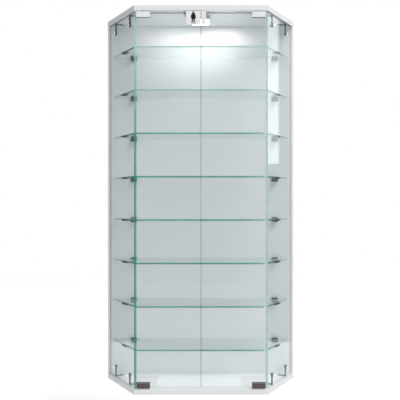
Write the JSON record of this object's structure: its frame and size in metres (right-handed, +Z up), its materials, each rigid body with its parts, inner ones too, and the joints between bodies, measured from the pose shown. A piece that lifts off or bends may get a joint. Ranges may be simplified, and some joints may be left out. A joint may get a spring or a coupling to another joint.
{
  "type": "wall display cabinet",
  "caption": "Wall-hung glass display cabinet with slanted glass sides, two pivoting glass doors with a lock, glass shelves and a lamp under the top panel.",
  "frame": {"origin": "midway between the entry holes of the two wall hangers, on the rear face that lies on the wall", "axes": "+Z up, the front with the doors faces -Y, +X to the right as seen from the front"},
  "size_m": [0.62, 0.1909, 1.192],
  "materials": {
    "white_board": "white melamine-faced chipboard, satin",
    "clear_glass": "clear float glass with ground green edges",
    "zinc_steel": "bright zinc-plated steel",
    "chrome_metal": "polished chrome plate",
    "dark_nickel": "dark polished nickel plate",
    "dark_rubber": "thin dark rubber",
    "clear_plastic": "clear soft plastic",
    "white_plastic": "smooth pale plastic",
    "black_steel": "blackened steel",
    "black_plastic": "black moulded plastic",
    "magnet": "grey nickel-plated magnet",
    "dowel_wood": "fluted beech",
    "lamp_cover": "opal diffuser, lit",
    "led_board": "white printed circuit board",
    "led_chip": "lit chips"
  },
  "bodies": {
    "carcass": {"top_panel": "white_board", "bottom_panel": "white_board", "back_panel": "white_board", "panel_screws": "zinc_steel", "panel_dowels": "dowel_wood", "screw_caps": "white_plastic", "wall_hangers": "zinc_steel", "wall_hanger_screws": "zinc_steel", "left_side_glass": "clear_glass", "right_side_glass": "clear_glass", "side_brackets": "dark_nickel", "side_bracket_screws": "zinc_steel", "side_glass_screws": "chrome_metal", "side_glass_nuts": "zinc_steel", "side_glass_washers": "clear_plastic", "shelf_1": "clear_glass", "shelf_2": "clear_glass", "shelf_3": "clear_glass", "shelf_4": "clear_glass", "shelf_5": "clear_glass", "shelf_6": "clear_glass", "shelf_7": "clear_glass", "shelf_8": "clear_glass", "rear_shelf_clamps": "dark_nickel", "shelf_clamp_screws": "dark_nickel", "shelf_clamp_pads": "clear_plastic", "side_shelf_rests": "black_plastic", "side_rest_pads": "clear_plastic", "hinge_bushes": "white_plastic", "catch_housings": "white_plastic", "catch_magnets": "magnet", "catch_screws": "zinc_steel", "lamp_housing": "white_plastic", "lamp_diffuser": "lamp_cover", "lamp_led_board": "led_board", "lamp_leds": "led_chip", "lamp_screws": "zinc_steel", "cable_grommet": "white_plastic"},
    "left_door": {"left_door_glass": "clear_glass", "left_door_clamps": "chrome_metal", "left_door_liners": "dark_rubber", "left_door_pins": "zinc_steel", "left_door_grub_screws": "black_steel", "lock_housing": "chrome_metal", "lock_liner": "dark_rubber", "lock_grub_screws": "black_steel"},
    "right_door": {"right_door_glass": "clear_glass", "right_door_clamps": "chrome_metal", "right_door_liners": "dark_rubber", "right_door_pins": "zinc_steel", "right_door_grub_screws": "black_steel", "right_door_plate": "chrome_metal", "right_plate_screw": "black_steel"},
    "lock_core": {"lock_plug": "chrome_metal", "lock_cam": "chrome_metal", "lock_cam_screw": "zinc_steel"},
    "key_shank": {"key_blade": "chrome_metal"},
    "key_grip": {"key_bow": "black_plastic", "key_pin": "chrome_metal"},
    "key_loop": {"key_ring": "black_steel"}
  },
  "joints": [
    {"name": "left_door_swing", "type": "hinge", "parent": "carcass", "child": "left_door", "pos_m": [-0.19, -0.1745, -0.505], "axis": [0, 0, -1], "range_deg": [0, 105]},
    {"name": "right_door_swing", "type": "hinge", "parent": "carcass", "child": "right_door", "pos_m": [0.19, -0.1745, -0.505], "axis": [0, 0, 1], "range_deg": [0, 105]},
    {"name": "lock_turn", "type": "hinge", "parent": "left_door", "child": "lock_core", "pos_m": [-0.0235, -0.1745, 0.065], "axis": [0, 1, 0], "range_deg": [0, 90]},
    {"name": "key_pull", "type": "slide", "parent": "lock_core", "child": "key_shank", "axis": [0, -1, 0], "range_m": [0, 0.02]},
    {"name": "key_fold", "type": "hinge", "parent": "key_shank", "child": "key_grip", "pos_m": [-0.0235, -0.1865, 0.065], "axis": [-1, 0, 0], "range_deg": [0, 90]},
    {"name": "ring_swing", "type": "hinge", "parent": "key_grip", "child": "key_loop", "pos_m": [-0.0235, -0.1865, 0.0455], "axis": [0, 1, 0], "range_deg": [-60, 60]}
  ]
}
